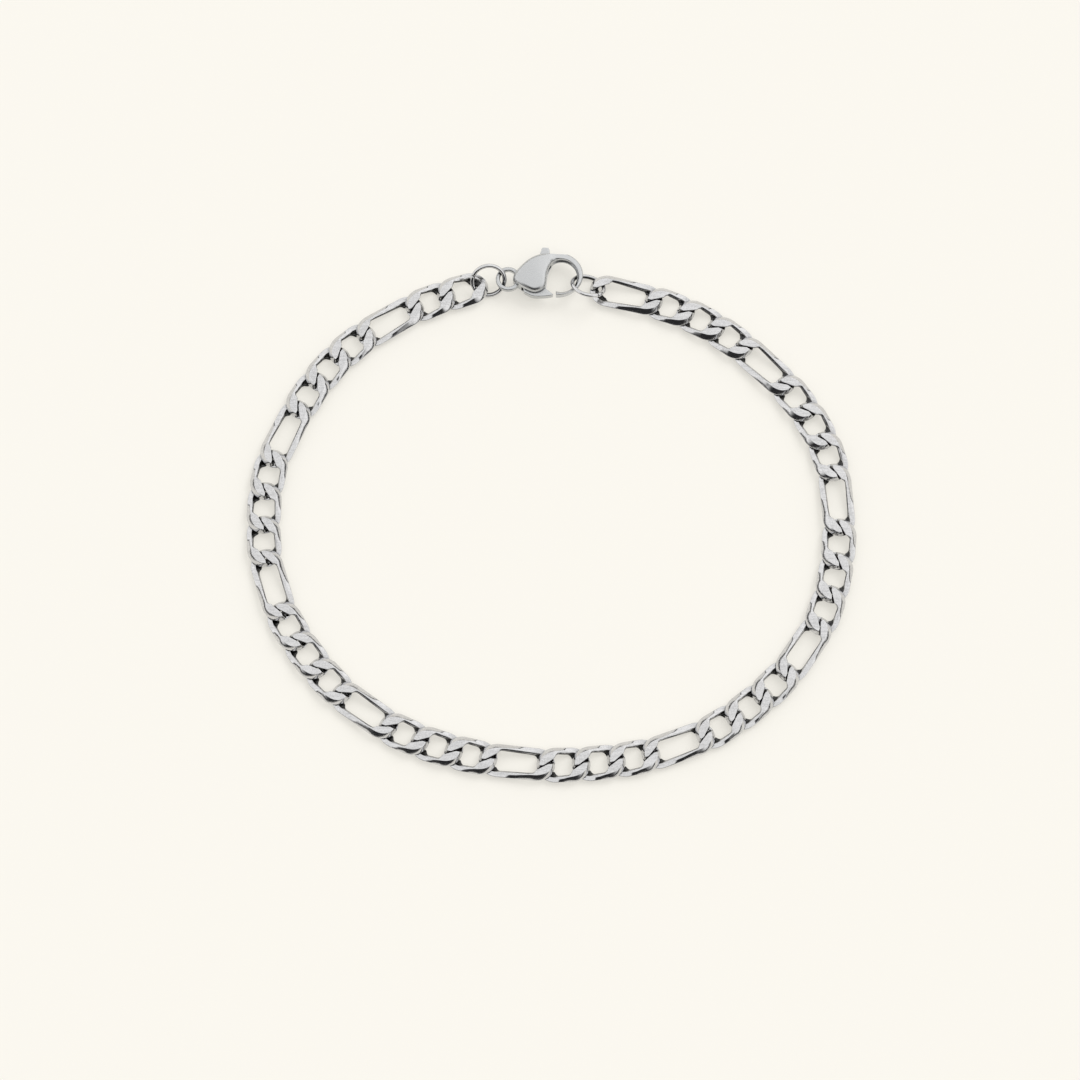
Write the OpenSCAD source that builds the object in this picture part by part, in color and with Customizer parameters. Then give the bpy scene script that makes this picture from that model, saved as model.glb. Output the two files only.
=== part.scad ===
// Figaro chain bracelet of polished steel, lying closed on a table.
// Groups of three short links and one long link, bent from wire, twisted and rolled flat on both faces,
// run in a loop that two jump rings and a lobster clasp close.
// The origin is on the table under the middle of the bracelet, and the clasp is at the back.

/* [Links] */
// Diameter of the wire that the links are bent from
link_wire = 0.9; // [0.8:0.05:1]
// Width of the wire along the sides of a link
link_side = 0.82; // [0.7:0.02:0.9]
// Height of the wire where rolling has not reached it
wire_height = 0.8; // [0.7:0.02:0.84]
// Outside length of a short link
short_length = 6.1; // [5.9:0.1:7]
// Outside width of a short link
short_width = 3.9; // [3.7:0.1:4.2]
// Outside length of a long link
long_length = 8.75; // [8:0.05:10]
// Outside width of a long link
long_width = 3.7; // [3.6:0.1:4]
// How far the round end of any link reaches along it
link_end = 2.2; // [2.1:0.1:2.5]
// Thickness of the chain after rolling
chain_thickness = 1.4; // [1.3:0.05:1.5]
// How far rolling pushes the outer edge out at the corners
rolled_bulge = 0.14; // [0.1:0.02:0.2]
// How far rolling draws the flats in over the link's hole at the corners
rolled_lip = 0.65; // [0.5:0.05:0.75]

/* [Pattern] */
// Number of links in the loop
link_count = 39; // [31:1:43]
// Links from the start of one group to the start of the next
group_links = 4; // [2:1:6]
// Play between two pieces that hang in each other
play = 0.2; // [0.18:0.01:0.26]

/* [Jump rings] */
// Diameter of the wire of a jump ring
ring_wire = 0.48; // [0.4:0.02:0.5]
// Outside diameter of a jump ring
ring_outer = 4.4; // [4.2:0.1:4.8]
// Tilt of the left ring, back side high
ring_left_tilt = 45; // [42:1:50]
// Tilt of the right ring, front side high
ring_right_tilt = 39.5; // [37:0.5:43]
// Slack of the left ring between the last link and the eye
ring_left_slack = 0.85; // [0.7:0.05:1]
// Slack of the right ring between the hook and the first link
ring_right_slack = 0.6; // [0.5:0.05:0.8]

/* [Clasp] */
// Thickness of the clasp at the middle of its cheeks
clasp_thickness = 3; // [2.9:0.1:3.3]
// Outside diameter of the eye
eye_outer = 3; // [2.8:0.1:3.4]
// Diameter of the hole in the eye
eye_hole = 2; // [1.8:0.1:2]
// Thickness of the eye
eye_thickness = 0.8; // [0.6:0.1:0.9]
// Distance from the eye's hole to the middle of the hook
hook_reach = 6; // [6:0.1:6.6]
// Half length of the hook's outer edge
hook_half_length = 3; // [2.9:0.1:3.3]
// Half width of the hook's outer edge
hook_half_width = 2.7; // [2.6:0.05:2.9]
// Radius of the space inside the hook
hook_space = 1.85; // [1.7:0.05:1.95]
// Thickness of the hook at its far end
hook_thickness = 0.7; // [0.6:0.05:0.8]
// Thickness of the lever
lever_thickness = 1; // [0.8:0.1:1.1]
// Clearance between the lever and the cheeks on each side
lever_gap = 0.06; // [0.04:0.01:0.1]
// Diameter of the pin
pin_diameter = 0.7; // [0.5:0.05:0.8]
// Clearance round the pin
pin_gap = 0.03; // [0.02:0.01:0.06]

/* [Hidden] */
// Route of the chain's middle line, clockwise from the clasp, seen from above
CHAIN_ROUTE = [
    [-1, 28.5], [3, 28.5], [7, 27.2], [14, 25.5], [20, 22.5], [25, 18.5], [30, 13], [33.5, 5.5],
    [34, -5], [31, -15], [24, -23], [14.5, -28.5], [2, -30.5], [-9, -29.5], [-19, -26], [-27, -19.5],
    [-33, -9.5], [-34, 1.5], [-32, 9], [-26, 18.5], [-17.5, 24.7], [-7.5, 28.2]];
// Points worked out between two points of the route
route_steps = 10;
// Sections round each end of a link
end_steps = 7;
// The twist lifts a corner by the wire's height, and by enough play for the next link to pass under it
twist_lift = wire_height + 1.5 * play;
// Share of the twist's lift at which the rolls have flattened a corner fully
corner_share = 0.57;
// Half width of a flat, as a share of the wire's half width, in plain places and on the outside of a corner
plain_flat = 0.5;
corner_flat = 0.05;

half_thickness = chain_thickness / 2;
ring_radius = (ring_outer - ring_wire) / 2;
ring_inside = ring_outer - 2 * ring_wire;
// How each ring lies in its gap: its shift along and across the gap, its turn and its dip
left_ring_shift = [-0.07, 0.21];
left_ring_turn = -6;
left_ring_dip = 3.5;
right_ring_shift = [0.11, -0.28];
right_ring_turn = -3;
right_ring_dip = -1;
// Width of the hook at its far end
hook_band = 0.75;
// Sideways offsets of the hook's outer edge and of the space in it from the line through the eye
hook_offset = 0.6;
space_offset = 0.3;
// Where the hook holds the right ring, and the middle of the space in it, from the eye
hook_hold = hook_reach + hook_half_length - hook_band;
space_middle = hook_hold - hook_space;
// Angles between which the hook's outer and inner edges run, from its root to its tip
hook_root_angle = 118;
hook_tip_angle = -95;
space_root_angle = 130;
space_tip_angle = -111;
// Radius of the domes that the cheeks are cut from, and their middle
dome_radius = 8;
dome_middle = [0.55 * hook_reach, 0.12 * hook_half_width];
// Thickness of the hook at its root, as a share of the clasp's, the bevel round the space in it,
// and the number of points along each of its edges
hook_root_share = 0.7;
hook_bevel = 0.25;
arc_steps = 36;
// Bevel of the eye's rim, as a share of its width and of its height
eye_bevel = 0.3;
// Height of the slot for the lever
slot_height = lever_thickness + 2 * lever_gap;
// How far the pin goes into each cheek
pin_seat = 0.4;
pin_place = [0.425 * hook_reach, -0.355 * hook_half_width];

// Outline of a cheek, as shares of hook_reach along the clasp and of hook_half_width across it
CHEEK_OUTLINE = [
    [0.1, -0.11], [0.125, 0.2], [0.27, 0.59], [0.43, 0.9], [0.61, 1.11], [0.79, 1.2],
    [0.93, 1.14], [0.89, 0.76], [0.815, 0.44], [0.78, 0.145], [0.767, -0.145], [0.742, -0.41],
    [0.65, -0.6], [0.515, -0.67], [0.37, -0.555], [0.215, -0.35]];
// Outline of the slot between the cheeks, in the same shares
SLOT_OUTLINE = [
    [0.27, -1.3], [0.27, 0], [0.3, 0.36], [0.3, 1.65], [0.84, 1.65], [0.84, 0.7], [0.915, 0.36], [0.915, -1.3]];
// Outlines of the lever's gate and of its arm, in the same shares
GATE_OUTLINE = [
    [0.31, -0.54], [0.4, -0.73], [0.52, -0.83], [0.7, -0.83], [0.83, -0.8], [0.9, -0.74],
    [0.825, -0.59], [0.735, -0.44], [0.57, -0.18], [0.42, -0.055]];
ARM_OUTLINE = [
    [0.33, -0.145], [0.53, -0.18], [0.675, 0.335], [0.8, 0.95], [0.82, 1.3], [0.66, 1.3],
    [0.6, 0.85], [0.45, 0.26]];
// Points worked out between two points of a cheek's outline and of the gate's
cheek_steps = 4;
gate_steps = 3;
// The nub that the thumb pulls, and the round of the lever round its pin
nub_place = [0.74 * hook_reach, 1.31 * hook_half_width];
nub_radius = 0.5;
hub_radius = 0.8;

function is_long(i) = i % group_links == 0;
function longs_to(i) = floor(i / group_links) + 1;
function link_length(i) = is_long(i) ? long_length : short_length;
function link_width(i) = is_long(i) ? long_width : short_width;
function pitch(i) = link_length(i) - 2 * link_wire - play;
function two_figures(n) = n < 10 ? str("0", n) : str(n);
function link_name(i) = is_long(i)
    ? str("long_link_", two_figures(longs_to(i)))
    : str("short_link_", two_figures(i + 1 - longs_to(i)));

// Running totals of a list, from 0 to the whole sum
function totals(list) = [
    for (k = 0, sum = 0; k <= len(list); sum = sum + (k < len(list) ? list[k] : 0), k = k + 1) sum];

// A point of the smooth curve through four points in a row, between the second and the third
function spline(p, q, r, s, t) =
    0.5 * (2 * q + (r - p) * t + (2 * p - 5 * q + 4 * r - s) * t * t + (3 * q - p - 3 * r + s) * t * t * t);
function closed_spline(points, steps) = let (n = len(points)) [
    for (k = [0 : n - 1], j = [0 : steps - 1])
        spline(points[(k + n - 1) % n], points[k], points[(k + 1) % n], points[(k + 2) % n], j / steps)];

// The route is stretched so that the links, the rings and the clasp fill it
closure_right = hook_hold / 2 + ring_inside - ring_right_slack;
closure_left = hook_hold / 2 + eye_hole / 2 + ring_inside - ring_left_slack;
pitch_totals = totals([for (i = [0 : link_count - 1]) pitch(i)]);
chain_total = closure_right + closure_left + pitch_totals[link_count];
fine_route = closed_spline(CHAIN_ROUTE, route_steps);
fine_count = len(fine_route);
fine_totals = totals([for (k = [0 : fine_count - 1]) norm(fine_route[(k + 1) % fine_count] - fine_route[k])]);
route_scale = chain_total / fine_totals[fine_count];
route_table = [for (axis = [0, 1]) [
    for (k = [0 : fine_count]) [route_scale * fine_totals[k], route_scale * fine_route[k % fine_count][axis]]]];
function along(distance) = let (d = (distance + chain_total) % chain_total)
    [lookup(d, route_table[0]), lookup(d, route_table[1])];
// Middle of the joint before link i
function joint_before(i) = along(closure_right + pitch_totals[i]);

// Puts a piece halfway between two points of the route, with its length along the line through them
module between(start, end) {
    run = end - start;
    translate([(start + end)[0] / 2, (start + end)[1] / 2, 0])
        rotate([0, 0, atan2(run[1], run[0])])
            children();
}

// One section of a link's wire: six points round it, with the flats and the lips that rolling leaves
function wire_section(angle, side, length, width) = let (
    straight = length / 2 - link_end,
    reach = link_end - link_wire / 2,
    half = (width - link_side) / 2,
    x = side * straight + reach * cos(angle),
    y = half * sin(angle),
    outward = [half * cos(angle), reach * sin(angle)],
    normal = outward / norm(outward),
    lift = -twist_lift * x * y / ((straight + reach) * half),
    top = min(lift + wire_height / 2, half_thickness),
    bottom = max(lift - wire_height / 2, -half_thickness),
    middle = (top + bottom) / 2,
    high = max(0, min(1, lift / (corner_share * twist_lift))),
    low = max(0, min(1, -lift / (corner_share * twist_lift))),
    half_wire = (link_side + (link_wire - link_side) * abs(cos(angle))) / 2,
    bulge = rolled_bulge * pow(high + low, 2),
    shoulder = plain_flat - corner_flat,
    profile = [
        [half_wire * (plain_flat - shoulder * high), top],
        [half_wire + bulge, middle],
        [half_wire * (plain_flat - shoulder * low), bottom],
        [-half_wire * plain_flat - rolled_lip * low * low, bottom],
        [-half_wire, middle],
        [-half_wire * plain_flat - rolled_lip * high * high, top]])
    [for (p = profile) [x + normal[0] * p[0], y + normal[1] * p[0], p[1] + half_thickness]];

// A link: the section carried round its two ends, with one more in the middle of each straight side
module chain_link(length, width) {
    sections = [
        for (side = [1, -1], k = [0 : end_steps + 1])
            k > end_steps
                ? wire_section(90 * side, 0, length, width)
                : wire_section(-90 * side + 180 * k / end_steps, side, length, width)];
    around = len(sections);
    sides = len(sections[0]);
    faces = [
        for (k = [0 : around - 1], j = [0 : sides - 1], half = [0, 1])
            let (
                here = k * sides,
                next = ((k + 1) % around) * sides,
                a = here + j,
                b = here + (j + 1) % sides,
                c = next + (j + 1) % sides,
                d = next + j)
            half == 0 ? [a, c, b] : [a, d, c]];
    color("silver")
        polyhedron(points = [for (s = sections, p = s) p], faces = faces, convexity = 4);
}

// A ring that rests on the table, tilted about the line through its ends, dipped along it and turned
module jump_ring(tilt, dip, turn, shift) {
    level = cos(tilt) * cos(dip);
    color("gainsboro")
        translate([shift[0], shift[1], ring_radius * sqrt(1 - level * level) + ring_wire / 2])
            rotate([tilt, dip, turn])
                rotate_extrude($fn = 48)
                    translate([ring_radius, 0])
                        circle(d = ring_wire, $fn = 24);
}

function shares(outline) = [for (p = outline) [p[0] * hook_reach, p[1] * hook_half_width]];
function arc(middle, half_length, half_width, from, to, steps) = [
    for (k = [0 : steps]) let (angle = from + (to - from) * k / steps)
        middle + [half_length * cos(angle), half_width * sin(angle)]];

// The clasp's own frame has the eye's middle at its origin and the hook along +X
module on_clasp() {
    hold = along(hook_hold / 2);
    eye = along(-hook_hold / 2);
    run = hold - eye;
    translate([eye[0], eye[1], clasp_thickness / 2])
        rotate([0, 0, atan2(run[1], run[0])])
            children();
}

module cheeks() {
    intersection() {
        translate([0, 0, -clasp_thickness / 2])
            linear_extrude(clasp_thickness)
                polygon(closed_spline(shares(CHEEK_OUTLINE), cheek_steps));
        translate([dome_middle[0], dome_middle[1], clasp_thickness / 2 - dome_radius])
            rotate([90, 0, 0])
                sphere(dome_radius, $fn = 96);
        translate([dome_middle[0], dome_middle[1], dome_radius - clasp_thickness / 2])
            rotate([90, 0, 0])
                sphere(dome_radius, $fn = 96);
    }
}

module hook() {
    root_thickness = hook_root_share * clasp_thickness;
    root = hook_reach - hook_half_length;
    far = hook_reach + hook_half_length;
    across = 4 * hook_half_width;
    bevel_start = hook_space / 2;
    bevel_depth = hook_space;
    difference() {
        intersection() {
            translate([0, 0, -clasp_thickness / 2])
                linear_extrude(clasp_thickness)
                    polygon(concat(
                        arc([hook_reach, hook_offset], hook_half_length, hook_half_width,
                            hook_root_angle, hook_tip_angle, arc_steps),
                        arc([space_middle, space_offset], hook_space, hook_space,
                            space_tip_angle, space_root_angle, arc_steps)));
            translate([0, across / 2, 0])
                rotate([90, 0, 0])
                    linear_extrude(across)
                        polygon([
                            [root, -root_thickness / 2], [far, -hook_thickness / 2],
                            [far, hook_thickness / 2], [root, root_thickness / 2]]);
        }
        for (side = [0, 1])
            translate([space_middle, space_offset, 0])
                mirror([0, 0, side])
                    translate([0, 0, hook_thickness / 2 - hook_bevel - bevel_start])
                        cylinder(r1 = hook_space - bevel_start, r2 = hook_space + bevel_depth,
                            h = bevel_start + bevel_depth, $fn = 64);
    }
}

module eye() {
    rim = (eye_outer - eye_hole) / 2;
    across = eye_bevel * rim;
    up = eye_bevel * eye_thickness;
    rotate_extrude($fn = 48)
        translate([eye_hole / 2, -eye_thickness / 2])
            polygon([
                [across, 0], [rim - across, 0], [rim, up], [rim, eye_thickness - up],
                [rim - across, eye_thickness], [across, eye_thickness], [0, eye_thickness - up], [0, up]]);
}

module pin_shape(diameter, length) {
    translate([pin_place[0], pin_place[1], -length / 2])
        cylinder(d = diameter, h = length, $fn = 32);
}

module clasp_body() {
    color("silver")
        on_clasp()
            difference() {
                union() {
                    cheeks();
                    hook();
                    eye();
                }
                translate([0, 0, -slot_height / 2])
                    linear_extrude(slot_height)
                        polygon(shares(SLOT_OUTLINE));
                pin_shape(pin_diameter + 2 * pin_gap, slot_height + 2 * (pin_seat + pin_gap));
            }
}

module clasp_lever() {
    color("gainsboro")
        on_clasp()
            difference() {
                translate([0, 0, -lever_thickness / 2])
                    linear_extrude(lever_thickness) {
                        polygon(closed_spline(shares(GATE_OUTLINE), gate_steps));
                        polygon(shares(ARM_OUTLINE));
                        translate(pin_place)
                            circle(hub_radius, $fn = 48);
                        translate(nub_place)
                            circle(nub_radius, $fn = 32);
                    }
                pin_shape(pin_diameter + 2 * pin_gap, 2 * lever_thickness);
            }
}

module clasp_pin() {
    color("darkgray")
        on_clasp()
            pin_shape(pin_diameter, slot_height + 2 * pin_seat);
}

for (i = [0 : link_count - 1])
    between(joint_before(i), joint_before(i + 1))
            chain_link(link_length(i), link_width(i));
between(along(-closure_left), along(-hook_hold / 2 - eye_hole / 2))  // jump_ring_left
        jump_ring(ring_left_tilt, left_ring_dip, left_ring_turn, left_ring_shift);
between(along(hook_hold / 2), along(closure_right))  // jump_ring_right
        jump_ring(-ring_right_tilt, right_ring_dip, right_ring_turn, right_ring_shift);
clasp_body();
clasp_lever();
clasp_pin();
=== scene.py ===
# %% [markdown]
# A figaro bracelet of polished steel, closed by two jump rings and a lobster clasp, lies on a pale table.
# Nearly every piece is a length of wire that was bent, twisted and rolled, so most of this lesson is about
# carrying one outline along a path. The clasp is cast, and is modelled as a field of distances instead.
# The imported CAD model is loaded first, as a fixed frame: each piece made here takes its place from the CAD
# solid that it stands for, so nothing has to be fitted by eye.

# %% Load the frame
import math

import bmesh
import bpy
import numpy as np
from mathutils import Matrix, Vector


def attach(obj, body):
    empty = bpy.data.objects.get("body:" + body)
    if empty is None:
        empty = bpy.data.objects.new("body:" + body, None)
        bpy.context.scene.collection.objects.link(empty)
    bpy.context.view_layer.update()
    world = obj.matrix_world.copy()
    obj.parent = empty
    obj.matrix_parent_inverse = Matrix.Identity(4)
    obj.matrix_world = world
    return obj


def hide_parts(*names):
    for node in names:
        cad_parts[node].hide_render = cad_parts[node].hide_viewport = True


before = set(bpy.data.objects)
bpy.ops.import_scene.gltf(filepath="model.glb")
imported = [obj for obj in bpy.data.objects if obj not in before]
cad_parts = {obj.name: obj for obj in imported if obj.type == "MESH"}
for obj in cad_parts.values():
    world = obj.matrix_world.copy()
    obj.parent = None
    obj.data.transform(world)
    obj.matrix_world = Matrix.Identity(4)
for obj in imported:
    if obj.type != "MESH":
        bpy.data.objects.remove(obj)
scene = bpy.context.scene
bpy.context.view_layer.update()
MM = 0.001
CHAIN_BODY = "bracelet"
LEVER_BODY = "lever"

# %% [markdown]
# A catalogue picture of a chain is taken from nearly overhead with a long lens, so that the far side of the
# loop is as large as the near side. The camera stands in front of the bracelet, 76 degrees above the table.
# Its distance follows from the lens and from how many millimetres of table the picture spans.

# %% Camera
FRAME_WIDTH = 127.7 * MM
SENSOR = 36
LENS = 100
CAMERA_ELEVATION = math.radians(76.4)
LOOK_AT = Vector((-1.3, -3.4, 0)) * MM

camera_data = bpy.data.cameras.new("camera")
camera_data.lens = LENS
camera_data.sensor_width = SENSOR
camera = bpy.data.objects.new("camera", camera_data)
scene.collection.objects.link(camera)
camera_distance = FRAME_WIDTH * LENS / SENSOR
towards_camera = Vector((0, -math.cos(CAMERA_ELEVATION), math.sin(CAMERA_ELEVATION)))
camera.location = LOOK_AT + camera_distance * towards_camera
camera.rotation_euler = towards_camera.to_track_quat("Z", "Y").to_euler()
scene.camera = camera
scene.view_settings.view_transform = "Standard"
print("camera distance, mm:", round(camera_distance / MM))

# %% [markdown]
# A shader is easier to read as arithmetic than as a net of boxes. This class wraps one socket, and Python's
# operators then add the Math nodes: 1 - mask is a node too, because the reflected forms are there as well.
# Every other kind of node comes from one method, make, which sets the node's settings before its sockets.

# %% Sockets as values
MIX_FACTOR, MIX_FIRST, MIX_SECOND, MIX_COLOUR = 0, 6, 7, 2


class Signal:
    def __init__(self, tree, socket):
        self.tree = tree
        self.socket = socket

    @classmethod
    def make(cls, tree, kind, settings=None, inputs=None, output=0):
        node = tree.nodes.new(kind)
        for name, value in (settings or {}).items():
            setattr(node, name, value)
        for name, value in (inputs or {}).items():
            if isinstance(value, cls):
                tree.links.new(value.socket, node.inputs[name])
            else:
                node.inputs[name].default_value = value
        return cls(tree, node.outputs[output]) if len(node.outputs) else None

    def math(self, operation, first, second=0.0):
        return Signal.make(self.tree, "ShaderNodeMath", {"operation": operation}, {0: first, 1: second})

    def __add__(self, other):
        return self.math("ADD", self, other)

    def __sub__(self, other):
        return self.math("SUBTRACT", self, other)

    def __mul__(self, other):
        return self.math("MULTIPLY", self, other)

    def __truediv__(self, other):
        return self.math("DIVIDE", self, other)

    def __pow__(self, other):
        return self.math("POWER", self, other)

    def __radd__(self, other):
        return self.math("ADD", other, self)

    def __rsub__(self, other):
        return self.math("SUBTRACT", other, self)

    def __rmul__(self, other):
        return self.math("MULTIPLY", other, self)

    def rise(self, start, end, low=0.0, high=1.0):
        """Goes smoothly from low to high while this value goes from start to end."""
        return Signal.make(
            self.tree, "ShaderNodeMapRange", {"interpolation_type": "SMOOTHSTEP"},
            {"Value": self, "From Min": start, "From Max": end, "To Min": low, "To Max": high})

    def blend(self, first, second):
        """A colour that goes from first to second while this value goes from 0 to 1."""
        return Signal.make(
            self.tree, "ShaderNodeMix", {"data_type": "RGBA"},
            {MIX_FACTOR: self, MIX_FIRST: first, MIX_SECOND: second}, MIX_COLOUR)


# %% [markdown]
# Polished metal has hardly any colour of its own: what we see in it is the room. So the light is designed as
# a room. It is pale all round and overhead, and one broad zone low in front is dark, as where a photographer
# stands. The rolled flats look up and show the pale ceiling, while the shoulders that slope towards the
# camera show the dark zone. A dark strip also runs round the foot of the walls, and draws a thin line along
# every rounded edge. The camera itself sees only the cream of the backdrop.

# %% The room
CEILING = (1.06, 1.055, 1.04, 1)
WALLS = (1.2, 1.19, 1.17, 1)
WINDOW = (1.25, 1.24, 1.22, 1)
DARK_ZONE = (0.03, 0.03, 0.031, 1)
BACKDROP = (0.965, 0.939, 0.863, 1)
WALL_TOP = (0.35, 0.75)
DARK_BELOW = (0.7, 0.84)
DARK_TOWARDS = (-0.14, -0.99)
DARK_EDGE = (0.58, 0.87)
SKIRTING = (0.11, 0.16)
UNIT_GUARD = 1.001
WINDOW_FROM = Vector((0.62, 0.45, 0.64))
WINDOW_EDGE = (0.7, 0.96)

world = bpy.data.worlds.new("room")
scene.world = world
world.use_nodes = True
room = world.node_tree
room.nodes.clear()
looking = Signal.make(room, "ShaderNodeTexCoord")
right, back, up = (Signal.make(room, "ShaderNodeSeparateXYZ", None, {0: looking}, axis) for axis in "XYZ")
level_part = (UNIT_GUARD - up * up) ** 0.5
towards_dark = (right * DARK_TOWARDS[0] + back * DARK_TOWARDS[1]) / level_part
stand = towards_dark.rise(*DARK_EDGE) * (1 - up.rise(*DARK_BELOW))
dark = stand.math("MAXIMUM", stand, 1 - up.rise(*SKIRTING))
wall = 1 - up.rise(*WALL_TOP)
window = Signal.make(
    room, "ShaderNodeVectorMath", {"operation": "DOT_PRODUCT"},
    {0: looking, 1: WINDOW_FROM.normalized()}, "Value").rise(*WINDOW_EDGE)
pale = window.blend(wall.blend(CEILING, WALLS), WINDOW)
camera_sees = Signal.make(room, "ShaderNodeLightPath", None, None, "Is Camera Ray")
sky = Signal.make(
    room, "ShaderNodeBackground", None, {"Color": camera_sees.blend(dark.blend(pale, DARK_ZONE), BACKDROP)})
Signal.make(room, "ShaderNodeOutputWorld", None, {"Surface": sky})

# %% [markdown]
# One broad lamp stands behind the bracelet on the right. It is there for the shadow, which falls softly to
# the lower left. Polished steel would show such a lamp as a hard white spot, so the metal doesn't see it.

# %% Key light
KEY_FROM = Vector((0.5, 0.5, 0.7))
KEY_POWER = 1.15
KEY_SPREAD = math.radians(34)

lamp = bpy.data.lights.new("key_light", "SUN")
lamp.energy = KEY_POWER
lamp.angle = KEY_SPREAD
key_light = bpy.data.objects.new("key_light", lamp)
key_light.rotation_euler = KEY_FROM.to_track_quat("Z", "Y").to_euler()
key_light.visible_glossy = False
scene.collection.objects.link(key_light)

# %% [markdown]
# The table is a plain painted board. Part of the white of such a backdrop is added by hand when the picture
# is prepared for a catalogue, so the paint here glows a little as well: the shadow under the chain stays
# pale, and the cream stays even from corner to corner.

# %% Table
TABLE_HALF = 3.0
TABLE_DROP = 0.02 * MM
TABLE_COLOUR = (0.375, 0.365, 0.345, 1)
TABLE_GLOW = 0.528


def new_material(name, colour, metallic, roughness):
    """A material with one Principled shader; gives the material and that shader's node."""
    material = bpy.data.materials.new(name)
    material.use_nodes = True
    shader = material.node_tree.nodes["Principled BSDF"]
    shader.inputs["Base Color"].default_value = colour
    shader.inputs["Metallic"].default_value = metallic
    shader.inputs["Roughness"].default_value = roughness
    return material, shader


table_mesh = bpy.data.meshes.new("table")
corners = [(x * TABLE_HALF, y * TABLE_HALF, -TABLE_DROP) for x, y in ((-1, -1), (1, -1), (1, 1), (-1, 1))]
table_mesh.from_pydata(corners, [], [(0, 1, 2, 3)])
table = bpy.data.objects.new("table", table_mesh)
scene.collection.objects.link(table)
table_material, table_shader = new_material("table_paint", TABLE_COLOUR, 0, 0.9)
table_shader.inputs["Specular IOR Level"].default_value = 0.1
table_shader.inputs["Emission Color"].default_value = BACKDROP
table_shader.inputs["Emission Strength"].default_value = TABLE_GLOW
table_mesh.materials.append(table_material)

# %% [markdown]
# Every link here has the same finish: stainless steel, tumbled and polished until it mirrors the room, with
# fine hairlines left by polishing and a faint clouding from handling. The hairlines are long thin noise, the
# clouding is broad soft noise, and both change the roughness a little; a finer noise mottles the tone.
# Each mesh also carries a value of wear and painted shade, which is 1 along the rims that rub on other links
# and 0 on inner walls. Rims are brighter. Where the value is 0, and in crevices, which the ambient occlusion
# node finds (it measures how much of the surroundings a point is open to), the colour is painted nearly
# black: painted shade.

# %% Steel
CLOUD_SIZE = 1 / (1.6 * MM)
HAIRLINE_SIZE = 1 / (0.22 * MM)
RIPPLE_SIZE = 1 / (0.9 * MM)
CREVICE_DEPTH = 0.7 * MM
CREVICE_OPEN = (0.35, 0.85)
CREVICE_SAMPLES = 6
GRAIN_SIZE = 1 / (0.12 * MM)
SHADE_FADE_RANGE = (-0.02, 0.22)
HAIRLINE_STRETCH = (0.12, 1.0, 1.0)
NOISE_ROUGHNESS = 0.6
ROUGH_BASE, ROUGH_NOISE = 0.7, 0.35
ROUGH_UNWORN, ROUGH_WORN = 1.15, 0.35
TONE_BASE, TONE_WEAR_SHADE, TONE_CLOUDS = 0.4, 0.3, 0.2
# The last tone is the nearly black colour of the painted shade in crevices and on inner walls.
DULL_TONE, BRIGHT_TONE, PAINTED_SHADE_TONE = 0.8, 1.08, 0.08
RIPPLE_HEIGHT, HAIRLINE_HEIGHT = 0.02 * MM, 0.12


def tinted(colour, tone):
    return tuple(min(1.0, tone * c) for c in colour) + (1,)


def steel(name, colour, roughness, ripple, grain):
    material, shader = new_material(name, (*colour, 1), 1, roughness)
    tree = material.node_tree
    place = Signal.make(tree, "ShaderNodeTexCoord", None, None, "Object")

    def noise(scale, detail, where=place):
        return Signal.make(
            tree, "ShaderNodeTexNoise", {"normalize": True},
            {"Vector": where, "Scale": scale, "Detail": detail, "Roughness": NOISE_ROUGHNESS}, "Fac")

    stretched = Signal.make(
        tree, "ShaderNodeMapping", {"vector_type": "POINT"}, {"Vector": place, "Scale": HAIRLINE_STRETCH})
    clouds = noise(CLOUD_SIZE, 3)
    hairlines = noise(HAIRLINE_SIZE, 4, stretched)
    wear_and_shade = Signal.make(tree, "ShaderNodeAttribute", {"attribute_name": "wear_and_shade"}, None, "Fac")
    uneven = ROUGH_BASE + ROUGH_NOISE * clouds + ROUGH_NOISE * hairlines
    rough = roughness * uneven * (ROUGH_UNWORN - ROUGH_WORN * wear_and_shade)
    tree.links.new(rough.socket, shader.inputs["Roughness"])
    openness = Signal.make(
        tree, "ShaderNodeAmbientOcclusion", {"samples": CREVICE_SAMPLES}, {"Distance": CREVICE_DEPTH}, "AO")
    mottle = noise(GRAIN_SIZE, 1) + hairlines - 1
    tone = TONE_BASE + TONE_WEAR_SHADE * wear_and_shade + TONE_CLOUDS * clouds + grain * mottle
    polished = tone.blend(tinted(colour, DULL_TONE), tinted(colour, BRIGHT_TONE))
    # Painted shade: the base colour goes nearly black in crevices that the ambient occlusion finds and where
    # the wear value is low.
    unshaded = openness.rise(*CREVICE_OPEN) * wear_and_shade.rise(*SHADE_FADE_RANGE)
    shade = unshaded.blend(tinted(colour, PAINTED_SHADE_TONE), polished)
    tree.links.new(shade.socket, shader.inputs["Base Color"])
    bump = Signal.make(
        tree, "ShaderNodeBump", None,
        {"Strength": ripple, "Distance": RIPPLE_HEIGHT,
         "Height": noise(RIPPLE_SIZE, 2) + HAIRLINE_HEIGHT * hairlines}, "Normal")
    tree.links.new(bump.socket, shader.inputs["Normal"])
    return material


link_steel = steel("link_steel", (0.635, 0.635, 0.645), 0.14, 0.5, 2.2)
ring_steel = steel("ring_steel", (0.62, 0.62, 0.63), 0.12, 0.3, 1.2)
clasp_steel = steel("clasp_steel", (0.56, 0.57, 0.58), 0.26, 0.15, 0.3)
SLOT_MATERIAL = {"link_steel": link_steel, "ring_steel": ring_steel, "clasp_steel": clasp_steel}


def finish(piece, body, slot_name, *nodes):
    """Gives a piece its material, smooth shading and the body it moves with, and hides the CAD solids that it
    stands for.
    """
    piece.data.materials.append(SLOT_MATERIAL[slot_name])
    piece.data.polygons.foreach_set("use_smooth", [True] * len(piece.data.polygons))
    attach(piece, body)
    if nodes:
        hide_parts(*nodes)


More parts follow.
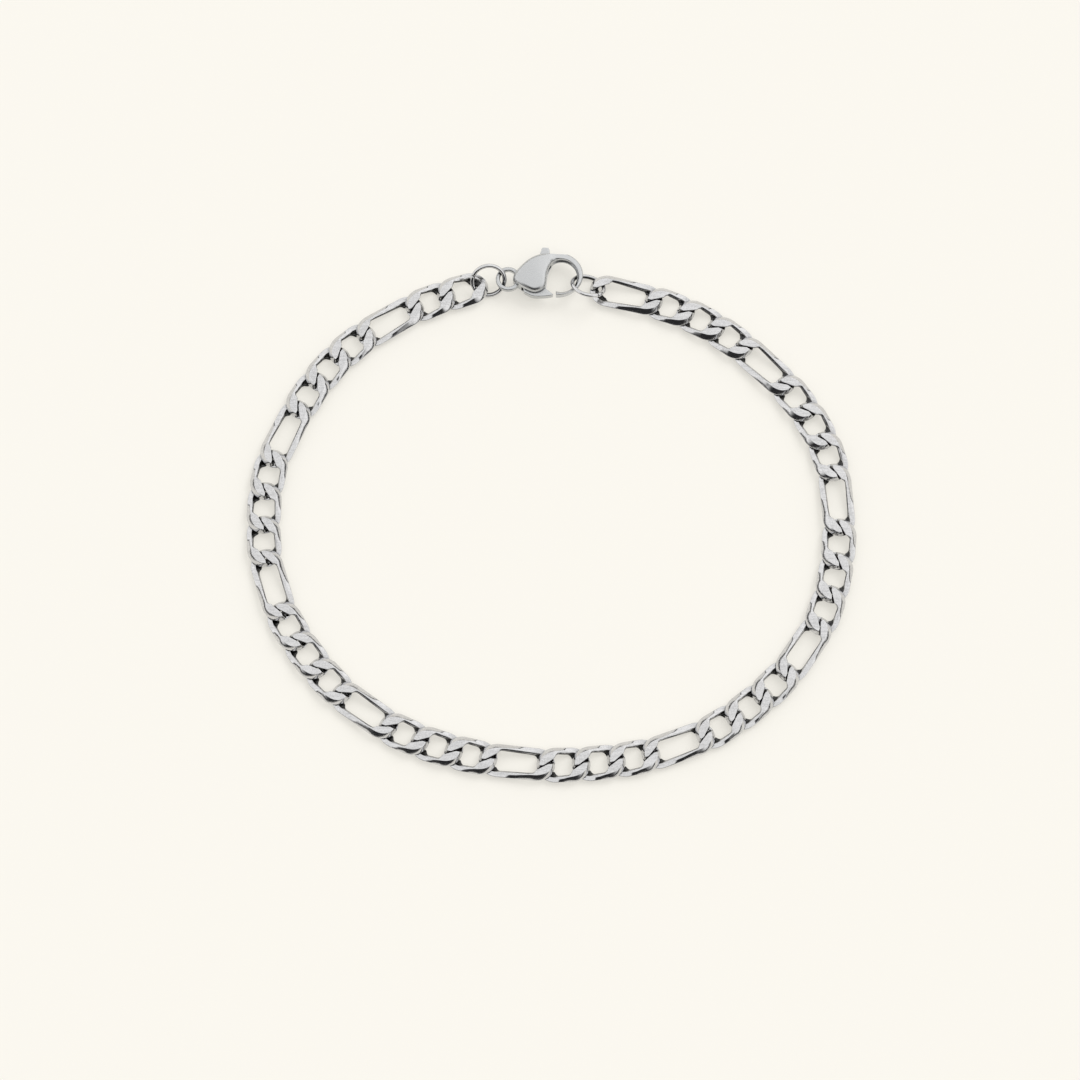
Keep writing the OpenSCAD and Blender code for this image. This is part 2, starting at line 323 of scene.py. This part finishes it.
def mesh_object(name, points, faces, wear_and_shade):
    """An object from points in millimetres, with the value of wear and painted shade at each point."""
    mesh = bpy.data.meshes.new(name)
    mesh.from_pydata((np.asarray(points) * MM).tolist(), [], faces)
    layer = mesh.attributes.new("wear_and_shade", "FLOAT", "POINT")
    layer.data.foreach_set("value", np.asarray(wear_and_shade, np.float32))
    mesh.update()
    solid = bmesh.new()
    solid.from_mesh(mesh)
    if solid.calc_volume(signed=True) < 0:
        mesh.flip_normals()
    solid.free()
    piece = bpy.data.objects.new(name, mesh)
    scene.collection.objects.link(piece)
    return piece


def loop_faces(rings, points):
    """Quads of a closed tube: rings of points, the last ring joined to the first."""
    faces = []
    for k in range(rings):
        here, following = k * points, (k + 1) % rings * points
        for j in range(points):
            beside = (j + 1) % points
            faces.append((here + j, here + beside, following + beside, following + j))
    return faces


# %% [markdown]
# A curb link starts as an oval of round wire. It is twisted, so that opposite corners stand up and hang down,
# and then the finished chain is rolled between two steel rollers, which press every high corner into a flat
# leaf. Where two links hang in each other, two leaves lie side by side and only a thin slanting gap parts
# them: below the gap each link is the top one, and above it each dives under its neighbour.
# The function here gives the top of the wire at any place: how far in and out its flat reaches, how high it
# lies, and how the flat steps down where the wire crosses the gap. The bottom is the same thing upside down,
# because a link looks the same when it is turned over about its length.

# %% Top of the wire
LINK_WIRE, LINK_SIDE = 0.9, 0.82
LINK_END = 2.2
PLAY = 0.2
CHAIN_THICKNESS = 1.4
TWIST_RISE, TWIST_REACH = 0.39, 0.85
LEAF_START, LEAF_FULL = -0.35, 0.55
WIRE_HALF = 0.4
UNDER_THIN = 0.09
GAP_SLANT, GAP_HALF = math.radians(34), 0.105
PLAIN_FLAT, PLAIN_RIM = 0.05, 0.12
LEAF_FLAT, LEAF_RIM, END_RIM = 0.86, -0.1, 0.18
PLAIN_BEVEL, LEAF_BEVEL = 0.19, 0.05
BEVEL_FALL, LIP_RUN, LIP_FALL = 0.8, 1.3, 0.07
STEP_FROM_GAP, STEP_WIDTH, STEP_LIP, STEP_TURN = 0.05, 0.3, 0.05, 0.12
LEAST_FLAT, LEAST_APPROACH = 0.03, 0.12
BEYOND_GAP = -0.5
FAR = 9.0


def smooth(share):
    share = min(1.0, max(0.0, share))
    return share * share * (3 - 2 * share)


def distance_to_gap(x, y, outward, length):
    """How far in from the wire's middle line the slanting gap lies, or FAR where the wire doesn't meet it."""
    straight = length / 2 - LINK_END
    if x < straight + 1e-6:
        return FAR if y < 0 else -FAR
    sin, cos = math.sin(GAP_SLANT), math.cos(GAP_SLANT)
    gap_x = length / 2 - LINK_WIRE - PLAY / 2
    side_of_gap = y * cos - (x - gap_x) * sin
    approach = outward[0] * sin - outward[1] * cos
    return (-GAP_HALF - side_of_gap) / approach if approach > LEAST_APPROACH else -FAR


def wire_top(x, y, outward, length):
    """Four points of the top, from inside to outside, as offset from the middle line and height, and the
    share of a full leaf that this place has."""
    if x < 0:
        x, y, outward = -x, -y, -outward
    straight = length / 2 - LINK_END
    lift = TWIST_RISE * math.sin(math.pi / 2 * min(1.0, x / (straight + TWIST_REACH)))
    leaf = smooth((x - straight - LEAF_START) / (LEAF_FULL - LEAF_START))
    high = min(CHAIN_THICKNESS / 2, WIRE_HALF + lift)
    low = WIRE_HALF - lift * (1 + UNDER_THIN / TWIST_RISE)
    to_gap = distance_to_gap(x, y, outward, length)
    leaf_rim = END_RIM + (LEAF_RIM - END_RIM) * outward[1] ** 2
    rim = PLAIN_RIM + (leaf_rim - PLAIN_RIM) * lift / TWIST_RISE * smooth(2 * to_gap + 0.5)
    bevel = PLAIN_BEVEL + (LEAF_BEVEL - PLAIN_BEVEL) * leaf
    inward = min(PLAIN_FLAT + (LEAF_FLAT - PLAIN_FLAT) * leaf, to_gap)
    level = low + (high - low) * smooth((to_gap + rim - STEP_FROM_GAP) / STEP_WIDTH)
    meets_gap = to_gap > BEYOND_GAP
    flat = max(inward, LEAST_FLAT - rim) if meets_gap else PLAIN_FLAT
    below = level - BEVEL_FALL * bevel
    inner = np.array([(-flat - LIP_RUN * bevel, below - LIP_FALL), (-flat - bevel, below)])
    if meets_gap:
        step = np.array([(-PLAIN_FLAT - PLAIN_BEVEL, low - STEP_LIP), (-max(flat, PLAIN_FLAT) - bevel, low)])
        inner = inner + (step - inner) * smooth((PLAIN_FLAT - flat) / STEP_TURN)
    return [inner[0], inner[1], np.array((-flat, level)), np.array((rim, level))], leaf


# %% [markdown]
# The whole outline joins the top to the bottom by a rounded shoulder outside and a wall inside. A shoulder
# that falls at about 40 degrees is what gives this chain its look: from the front it shows the dark part of
# the room, as a band under each bright leaf.

# %% Outline of the wire
SHOULDER_OUT = 0.12
SHOULDER_DROP = 0.26
SHOULDER_BOW = 0.03
EDGE_IN, EDGE_UP, EDGE_BOW = 0.09, 0.09, 0.28
FLAT_STEPS = (0, 0.06, 0.5, 0.94)
ARC_STEPS = (0, 0.08, 0.35, 0.65, 0.92)
EDGE_STEPS = (0, 0.25, 0.5, 0.75)
WALL_STEPS = (0, 0.2, 0.5, 0.8)
LIP_STEPS = (0, 0.5)
LIP_BOW, WALL_BOW = 0.1, 0.08
SPANS = (
    (LIP_STEPS, 0), (LIP_STEPS, LIP_BOW), (FLAT_STEPS, 0),
    (ARC_STEPS, SHOULDER_BOW), (EDGE_STEPS, EDGE_BOW), (ARC_STEPS, SHOULDER_BOW),
    (FLAT_STEPS, 0), (LIP_STEPS, LIP_BOW), (LIP_STEPS, 0), (WALL_STEPS, WALL_BOW), (WALL_STEPS, WALL_BOW))


def span(start, end, steps, bulge):
    """Points from start up to end, bowed out to the left of the way by a share of its length."""
    way = end - start
    out = np.array([-way[1], way[0]])
    return [start + t * way + 4 * bulge * t * (1 - t) * out for t in steps]


def wire_outline(angle, side, length, width):
    straight = length / 2 - LINK_END
    reach = LINK_END - LINK_WIRE / 2
    half = (width - LINK_SIDE) / 2
    cos, sin = math.cos(angle), math.sin(angle)
    x, y = side * straight + reach * cos, half * sin
    outward = np.array([half * cos, reach * sin])
    outward /= np.linalg.norm(outward)
    top, leaf = wire_top(x, y, outward, length)
    bottom, _ = wire_top(x, -y, outward * (1, -1), length)
    bottom = [point * (1, -1) for point in reversed(bottom)]
    half_wire = (LINK_SIDE + (LINK_WIRE - LINK_SIDE) * abs(cos)) / 2
    edge = (half_wire + SHOULDER_OUT - EDGE_IN, SHOULDER_DROP * (top[3][1] + bottom[0][1]) / 2)
    edge_top, edge_bottom = np.array(edge) + (0, EDGE_UP), np.array(edge) - (0, EDGE_UP)
    wall = (SHOULDER_OUT * (1 - leaf) - half_wire, (top[0][1] + bottom[3][1]) / 2)
    corner = [*top, edge_top, edge_bottom, *bottom, np.array(wall)]
    outline = []
    for k, (steps, bulge) in enumerate(SPANS):
        outline += span(corner[k], corner[(k + 1) % len(corner)], steps, bulge)
    return [(x + outward[0] * n, y + outward[1] * n, z) for n, z in outline]


LINK_SIZES = {"short": (6.1, 3.9), "long": (8.75, 3.7)}
outline_points = len(wire_outline(0, 1, *LINK_SIZES["short"]))
print("points in one outline:", outline_points)

# %% [markdown]
# The stations where the outline is set follow the link once round: its right end, its back side, its left end
# and its front side. They stand closer together round the ends, where the wire turns. The value of wear and
# painted shade is highest along the outer shoulders, which slide over cuffs and over one another, rises a
# little with height, and is 0 on the inner walls: there the steel paints the wall nearly black, as painted
# shade.

# %% Tube of a link
END_STATIONS = 44
SIDE_SPACING = 0.14
EDGE_ROW = 15
HOLLOW_ROWS = (2, 29)
WEAR_SHADE_BASE, WEAR_SHADE_SHOULDER, WEAR_SHADE_TOP = 0.35, 0.5, 0.2
SHOULDER_ROWS = 5.0


def link_tube(length, width):
    sides = max(2, round((length - 2 * LINK_END) / SIDE_SPACING))
    stations = []
    for side in (1, -1):
        first = -side * math.pi / 2
        stations += [(first + math.pi * k / END_STATIONS, side) for k in range(END_STATIONS)]
        stations += [(side * math.pi / 2, side * (1 - 2 * k / sides)) for k in range(sides)]
    return [wire_outline(angle, side, length, width) for angle, side in stations]


def wear_and_shade_share(ring):
    heights = np.array([p[2] for p in ring])
    rows = np.arange(outline_points)
    shoulders = np.exp(-((rows - EDGE_ROW) / SHOULDER_ROWS) ** 2)
    wear_and_shade = np.clip(WEAR_SHADE_BASE + WEAR_SHADE_SHOULDER * shoulders + WEAR_SHADE_TOP * heights / CHAIN_THICKNESS, 0, 1)
    # Painted shade: the inner lip and wall rows get 0, which the steel paints nearly black.
    return np.where((rows < HOLLOW_ROWS[0]) | (rows > HOLLOW_ROWS[1]), 0, wear_and_shade)


tubes = {kind: link_tube(*size) for kind, size in LINK_SIZES.items()}
link_wear_and_shade = {kind: np.concatenate([wear_and_shade_share(ring) for ring in tube]) for kind, tube in tubes.items()}
print({kind: len(tube) * outline_points for kind, tube in tubes.items()})

# %% [markdown]
# A link's place is read from its CAD solid. The middle of the solid's corners is the middle of the link, and
# the direction in which they spread most is its length. A link looks the same after half a turn, so it does
# not matter which way along the chain that direction points.

# %% Links in their places
def corners_of(node):
    """The different corners of a CAD solid, in millimetres."""
    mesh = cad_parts[node].data
    flat = np.empty(3 * len(mesh.vertices), np.float32)
    mesh.vertices.foreach_get("co", flat)
    return np.unique(np.round(flat.reshape(-1, 3) / MM, 3), axis=0)


def place_of_link(node):
    points = corners_of(node)
    middle = points.mean(axis=0)
    spread = np.cov((points - middle)[:, :2].T)
    run = np.linalg.eigh(spread)[1][:, 1]
    return middle, run


link_nodes = sorted(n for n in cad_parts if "_link_" in n)
for node in link_nodes:
    kind = node.split("_")[0]
    middle, run = place_of_link(node)
    tube = np.array(tubes[kind]).reshape(-1, 3)
    x = middle[0] + tube[:, 0] * run[0] - tube[:, 1] * run[1]
    y = middle[1] + tube[:, 0] * run[1] + tube[:, 1] * run[0]
    z = tube[:, 2] + CHAIN_THICKNESS / 2
    faces = loop_faces(len(tubes[kind]), outline_points)
    piece = mesh_object("rolled_" + node, np.stack([x, y, z], axis=1), faces, link_wear_and_shade[kind])
    finish(piece, CHAIN_BODY, "link_steel", node)
print("links:", len(link_nodes))

# %% [markdown]
# A jump ring is a single turn of round wire, cut from a coil and pressed shut. The cut never closes quite
# fully, so a hairline seam stays across the wire, and the wire is slightly thinner at its two ends. The ring
# is one circle carried round another, short of a full turn by the seam, and capped at both ends. Its inner
# side and the seam get the lowest value of wear and painted shade, so they are painted darker, as painted
# shade.

# %% Jump rings
RING_WIRE = 0.48
RING_HALF = 0.255
RING_STATIONS = 120
WIRE_POINTS = 24
SEAM = 0.045
SEAM_ROUND = 0.04
SEAM_AT = {"jump_ring_left": 150, "jump_ring_right": 20}
RING_WEAR_SHADE, RING_OUTER, SEAM_PAINTED_SHADE, SEAM_REACH = 0.5, 0.55, 0.4, 0.1


def ring_frame(node):
    """Middle, radius of the wire's middle line, and two directions in the ring's plane."""
    points = corners_of(node)
    rough_middle = points.mean(axis=0)
    axes = np.linalg.svd(points - rough_middle, full_matrices=False)[2]
    local = (points - rough_middle) @ axes.T
    middle = rough_middle + axes.T @ ((local.max(axis=0) + local.min(axis=0)) / 2)
    radius = (local[:, 0].max() - local[:, 0].min()) / 2 - RING_WIRE / 2
    return middle, radius, axes


for node, seam_angle in SEAM_AT.items():
    middle, radius, axes = ring_frame(node)
    seam_half = math.asin(SEAM / 2 / radius)
    start = math.radians(seam_angle) + seam_half
    sweep = 2 * math.pi - 2 * seam_half
    points, wear_and_shade = [], []
    for k in range(RING_STATIONS + 1):
        share = k / RING_STATIONS
        turn = start + sweep * share
        from_end = min(share, 1 - share) * sweep * radius
        wire = RING_HALF - (SEAM_ROUND if k in (0, RING_STATIONS) else 0)
        outward = math.cos(turn) * axes[0] + math.sin(turn) * axes[1]
        for j in range(WIRE_POINTS):
            angle = 2 * math.pi * j / WIRE_POINTS
            from_middle = (radius + wire * math.cos(angle)) * outward + wire * math.sin(angle) * axes[2]
            points.append(middle + from_middle)
            # Painted shade: the inner side of the wire and the seam get low values, which the steel paints
            # darker.
            seam_shade = SEAM_PAINTED_SHADE * math.exp(-from_end / SEAM_REACH)
            wear_and_shade.append(RING_WEAR_SHADE + RING_OUTER * math.cos(angle) - seam_shade)
    faces = loop_faces(RING_STATIONS + 1, WIRE_POINTS)[:RING_STATIONS * WIRE_POINTS]
    last = RING_STATIONS * WIRE_POINTS
    faces += [tuple(reversed(range(WIRE_POINTS))), tuple(range(last, last + WIRE_POINTS))]
    ring = mesh_object("wire_" + node, points, faces, wear_and_shade)
    finish(ring, CHAIN_BODY, "ring_steel", node)
    print(node, "radius", round(radius, 3), "middle", np.round(middle, 2))

# %% [markdown]
# The lobster clasp is cast: a plump body that flows into a hook and a small eye, with a slot sawn through it
# for the lever. Shapes that flow into one another are easiest as a field of distances. A formula says how far
# any point is from the surface, a soft minimum of two formulas joins two shapes with a fillet, and a maximum
# cuts one shape with another. The outlines below are shares of the clasp's reach and of the hook's half
# width, as in the CAD, and lie in the clasp's own frame: the eye at the origin, the hook along the X axis.

# %% Outlines of the clasp
CLASP_EYE = np.array((-5.1209, 28.4718, 1.5))
CLASP_TURN = math.radians(-0.433)
HOOK_REACH, HOOK_HALF_LENGTH, HOOK_HALF_WIDTH = 6.0, 3.0, 2.7
SPACE_MIDDLE, SPACE_RADIUS = (6.4, 0.3), 1.85
HOOK_OFFSET = 0.6
HOOK_OUTER_ARC, HOOK_INNER_ARC = (118, -95), (-111, 130)
CHEEK = (
    (0.1, -0.11), (0.125, 0.2), (0.27, 0.59), (0.43, 0.9), (0.61, 1.11), (0.79, 1.2),
    (0.93, 1.14), (0.89, 0.76), (0.815, 0.44), (0.78, 0.145), (0.767, -0.145), (0.742, -0.41),
    (0.65, -0.6), (0.515, -0.67), (0.37, -0.555), (0.215, -0.35))
SLOT = (
    (0.27, -1.3), (0.27, 0), (0.3, 0.36), (0.3, 1.65),
    (0.84, 1.65), (0.84, 0.7), (0.915, 0.36), (0.915, -1.3))
GATE = (
    (0.31, -0.54), (0.4, -0.73), (0.52, -0.83), (0.7, -0.83), (0.83, -0.8), (0.9, -0.74),
    (0.825, -0.59), (0.735, -0.44), (0.57, -0.18), (0.42, -0.055))
ARM = (
    (0.33, -0.145), (0.53, -0.18), (0.675, 0.335), (0.8, 0.95), (0.82, 1.3), (0.66, 1.3),
    (0.6, 0.85), (0.45, 0.26))
NUB_PLACE, NUB_RADIUS = (0.74 * HOOK_REACH, 1.31 * HOOK_HALF_WIDTH), 0.5


def real_size(outline):
    return np.array(outline) * (HOOK_REACH, HOOK_HALF_WIDTH)


def smooth_closed(outline, steps):
    """A smooth closed curve through the points of an outline."""
    before, here = np.roll(outline, 1, axis=0), outline
    after, beyond = np.roll(outline, -1, axis=0), np.roll(outline, -2, axis=0)
    curve = []
    for k in range(len(outline)):
        p, q, r, s = before[k], here[k], after[k], beyond[k]
        for t in np.arange(steps) / steps:
            square, cube = 2 * p - 5 * q + 4 * r - s, 3 * q - p - 3 * r + s
            curve.append(0.5 * (2 * q + (r - p) * t + square * t ** 2 + cube * t ** 3))
    return np.array(curve)


def arc(middle, half_length, half_width, first, last, steps=48):
    angles = np.radians(np.linspace(first, last, steps))
    along, across = half_length * np.cos(angles), half_width * np.sin(angles)
    return np.stack([middle[0] + along, middle[1] + across], axis=1)


cheek_outline = smooth_closed(real_size(CHEEK), 6)
gate_outline = smooth_closed(real_size(GATE), 5)
arm_outline = smooth_closed(real_size(ARM), 4)
slot_outline = real_size(SLOT)
hook_outline = np.concatenate([
    arc((HOOK_REACH, HOOK_OFFSET), HOOK_HALF_LENGTH, HOOK_HALF_WIDTH, *HOOK_OUTER_ARC),
    arc(SPACE_MIDDLE, SPACE_RADIUS, SPACE_RADIUS, *HOOK_INNER_ARC)])

# %% [markdown]
# The distance to a flat outline is the distance to its nearest edge, with a minus sign inside. A rounded slab
# of that outline then needs only a height: where both the outline and the height are close, the two distances
# are combined as the sides of a right angle, which rolls the slab's rim over with the radius that we ask for.

# %% Distances
def outline_distance(points, outline):
    """Signed distance of flat points to a closed outline, negative inside."""
    nearest = np.full(len(points), np.inf)
    inside = np.zeros(len(points), bool)
    x, y = points[:, 0], points[:, 1]
    for start, end in zip(outline, np.roll(outline, -1, axis=0)):
        way = end - start
        share = np.clip(((x - start[0]) * way[0] + (y - start[1]) * way[1]) / (way @ way), 0, 1)
        away = np.hypot(x - start[0] - share * way[0], y - start[1] - share * way[1])
        nearest = np.minimum(nearest, away)
        crosses = (start[1] > y) != (end[1] > y)
        if abs(way[1]) > 0:
            inside ^= crosses & (x < start[0] + (y - start[1]) * way[0] / way[1])
    return np.where(inside, -nearest, nearest)


def rounded_cut(first, second, radius):
    """Where two shapes overlap, with the rim between them rolled over by a radius."""
    a, b = first + radius, second + radius
    return np.hypot(np.maximum(a, 0), np.maximum(b, 0)) + np.minimum(np.maximum(a, b), 0) - radius


def soft_join(first, second, width):
    """Two shapes as one, with a fillet of about that width between them."""
    blend = np.maximum(width - np.abs(first - second), 0) / width
    return np.minimum(first, second) - 0.25 * width * blend ** 2


# %% [markdown]
# The cheeks are the overlap of their outline with two large domes, so their faces are gently crowned and
# catch one broad highlight. The hook is a band that thins towards its far end, and its inner edges are
# bevelled at 45 degrees so that the ring swings freely. The eye is a small round ring.

# %% Clasp body as distances
CLASP_HALF = 1.5
DOME_RADIUS, DOME_MIDDLE = 8.0, (3.3, 0.324)
HOOK_ROOT_HALF, HOOK_FAR_HALF = 1.05, 0.35
SPACE_WALL = ((0, 0.1, 0.35, 0.6, 0.85, 1.2), (1.85, 1.85, 2.1, 2.18, 2.42, 2.5))
EYE_RADIUS, EYE_BAND_HALF, EYE_HALF = 1.25, 0.25, 0.4
SLOT_HALF = 0.56
PIN_PLACE, PIN_HOLE = (2.55, -0.9585), 0.38
LEVER_HALF, HUB_RADIUS = 0.5, 0.8
CHEEK_ROUND, HOOK_ROUND, EYE_ROUND, SLOT_ROUND = 0.5, 0.27, 0.2, 0.04
BEVEL_SLOPE, BEVEL_ROUND = 0.8, 0.06
HOOK_FILLET, EYE_FILLET, LEVER_FILLET = 0.3, 0.15, 0.1
LEVER_ROUND, PIN_ROUND = 0.12, 0.02


def body_distance(p):
    flat, height = p[:, :2], np.abs(p[:, 2])
    dome = np.sqrt(
        (p[:, 0] - DOME_MIDDLE[0]) ** 2 + (p[:, 1] - DOME_MIDDLE[1]) ** 2
        + (height + DOME_RADIUS - CLASP_HALF) ** 2) - DOME_RADIUS
    cheeks = rounded_cut(outline_distance(flat, cheek_outline), dome, CHEEK_ROUND)
    taper = (p[:, 0] - HOOK_REACH + HOOK_HALF_LENGTH) / (2 * HOOK_HALF_LENGTH)
    hook_half = HOOK_ROOT_HALF + (HOOK_FAR_HALF - HOOK_ROOT_HALF) * taper
    hook = rounded_cut(outline_distance(flat, hook_outline), height - hook_half, HOOK_ROUND)
    from_space = np.hypot(p[:, 0] - SPACE_MIDDLE[0], p[:, 1] - SPACE_MIDDLE[1])
    bevel = BEVEL_SLOPE * (np.interp(height, *SPACE_WALL) - from_space)
    hook = rounded_cut(hook, bevel, BEVEL_ROUND)
    band = np.abs(np.hypot(p[:, 0], p[:, 1]) - EYE_RADIUS) - EYE_BAND_HALF
    eye = rounded_cut(band, height - EYE_HALF, EYE_ROUND)
    solid = soft_join(soft_join(cheeks, hook, HOOK_FILLET), eye, EYE_FILLET)
    slot = np.maximum(outline_distance(flat, slot_outline), height - SLOT_HALF)
    return rounded_cut(solid, -slot, SLOT_ROUND)


def lever_distance(p):
    flat, height = p[:, :2], np.abs(p[:, 2])
    gate = outline_distance(flat, gate_outline)
    arm = outline_distance(flat, arm_outline)
    hub = np.hypot(flat[:, 0] - PIN_PLACE[0], flat[:, 1] - PIN_PLACE[1])
    nub = np.hypot(flat[:, 0] - NUB_PLACE[0], flat[:, 1] - NUB_PLACE[1]) - NUB_RADIUS
    plate = soft_join(np.minimum(gate, arm), hub - HUB_RADIUS, LEVER_FILLET)
    plate = rounded_cut(soft_join(plate, nub, LEVER_FILLET), height - LEVER_HALF, LEVER_ROUND)
    return rounded_cut(plate, PIN_HOLE - hub, PIN_ROUND)


# %% [markdown]
# To turn a field of distances into a mesh, space is cut into small cubes. Every cube that the surface passes
# through gets one point, and neighbouring cubes' points are joined into squares. The points are then slid
# along the slope of the field until they lie on the surface to a thousandth of a millimetre, so the polish
# shows no trace of the cubes.

# %% From distances to a mesh
SETTLE_TURNS = 4
SETTLE_STEP, SETTLE_LIMIT, LEAST_SLOPE = 0.2, 1.2, 0.2


def field_mesh(distance, low, high, pitch):
    """Points and quads of the surface where the distance is zero."""
    axes = [np.arange(a, b + pitch, pitch) for a, b in zip(low, high)]
    grid = np.stack(np.meshgrid(*axes, indexing="ij"), axis=-1)
    values = distance(grid.reshape(-1, 3)).reshape(grid.shape[:3])
    inside = values < 0
    corner = [inside[i:inside.shape[0] - 1 + i, j:inside.shape[1] - 1 + j, k:inside.shape[2] - 1 + k]
              for i in (0, 1) for j in (0, 1) for k in (0, 1)]
    count = sum(c.astype(int) for c in corner)
    mixed = (count > 0) & (count < 8)
    number = np.full(mixed.shape, -1)
    number[mixed] = np.arange(mixed.sum())
    cells = np.argwhere(mixed)
    points = np.array([axis[0] for axis in axes]) + (cells + 0.5) * pitch
    points = settle(distance, points, pitch)
    quads = []
    for axis in range(3):
        one, two = np.eye(3, dtype=int)[(axis + 1) % 3], np.eye(3, dtype=int)[(axis + 2) % 3]
        ahead = np.roll(inside, -1, axis=axis)
        changes = np.argwhere(inside != ahead)
        changes = changes[changes[:, axis] < inside.shape[axis] - 1]
        changes = changes[np.all((changes >= one + two) & (changes < mixed.shape), axis=1)]
        around = [number[tuple((changes - shift).T)] for shift in (0 * one, one, one + two, two)]
        quad = np.stack(around, axis=1)
        outward = inside[tuple(changes.T)]
        quad[~outward] = quad[~outward][:, ::-1]
        quads.append(quad[(quad >= 0).all(axis=1)])
    return points, np.concatenate(quads)


def slope(distance, points, reach):
    steps = np.eye(3) * reach
    rises = [distance(points + s) - distance(points - s) for s in steps]
    return np.stack(rises, axis=1) / (2 * reach)


def settle(distance, points, pitch):
    """Slides points onto the surface, never further than about a cube."""
    start = points.copy()
    limit = SETTLE_LIMIT * pitch
    for _ in range(SETTLE_TURNS):
        way = slope(distance, points, SETTLE_STEP * pitch)
        steepness = np.maximum((way ** 2).sum(axis=1), LEAST_SLOPE)
        points = points - way * (distance(points) / steepness)[:, None]
        points = start + np.clip(points - start, -limit, limit)
    return points


# %% [markdown]
# Both cast pieces are meshed in the clasp's own frame and then set into the bracelet. The value of wear and
# painted shade follows how the surface bends: edges that stand out are rubbed bright, and hollows are painted
# darker, as painted shade.
# A box for meshing has to reach past the whole shape. These two don't: across the clasp they end at 3.0 and
# 3.9 mm, short of the hook's outer side and of the nub's end, so both meshes are cut off and open there.
# Boxes that end at 3.5 and 4.2 mm close them.

# %% Clasp body and lever
CLASP_PITCH = 0.06
BEND_DEPTH, FLAT_WEAR_SHADE, BEND_WEAR_SHADE = 0.25, 0.45, 1.2
BODY_BOX = (-1.6, -2.3, -1.6), (9.15, 3.0, 1.6)
LEVER_BOX = (1.5, -2.5, -0.75), (5.7, 3.9, 0.75)


def clasp_piece(name, distance, low, high, body, node):
    points, quads = field_mesh(distance, low, high, CLASP_PITCH)
    outside = slope(distance, points, CLASP_PITCH)
    outside /= np.linalg.norm(outside, axis=1)[:, None]
    # Painted shade: hollows get low values, which the steel paints darker; edges that stand out get a
    # brighter tone.
    bend = (distance(points - BEND_DEPTH * outside) + BEND_DEPTH) / BEND_DEPTH
    wear_and_shade = np.clip(FLAT_WEAR_SHADE + BEND_WEAR_SHADE * bend, 0, 1)
    cos, sin = math.cos(CLASP_TURN), math.sin(CLASP_TURN)
    x, y, z = points.T
    placed = np.stack([x * cos - y * sin, x * sin + y * cos, z], axis=1)
    piece = mesh_object(name, placed + CLASP_EYE, quads.tolist(), wear_and_shade)
    finish(piece, body, "clasp_steel", node)
    print(name, "points", len(points), "furthest from the surface", np.abs(distance(points)).max().round(4))


clasp_piece("cast_clasp_body", body_distance, *BODY_BOX, CHAIN_BODY, "clasp_body")
clasp_piece("cast_clasp_lever", lever_distance, *LEVER_BOX, LEVER_BODY, "clasp_lever")

# %% [markdown]
# The pin is the one CAD solid that is kept as it is: a plain round rivet inside the cheeks.

# %% Pin
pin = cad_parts["clasp_pin"]
pin.data.materials.clear()
pin.data.materials.append(clasp_steel)
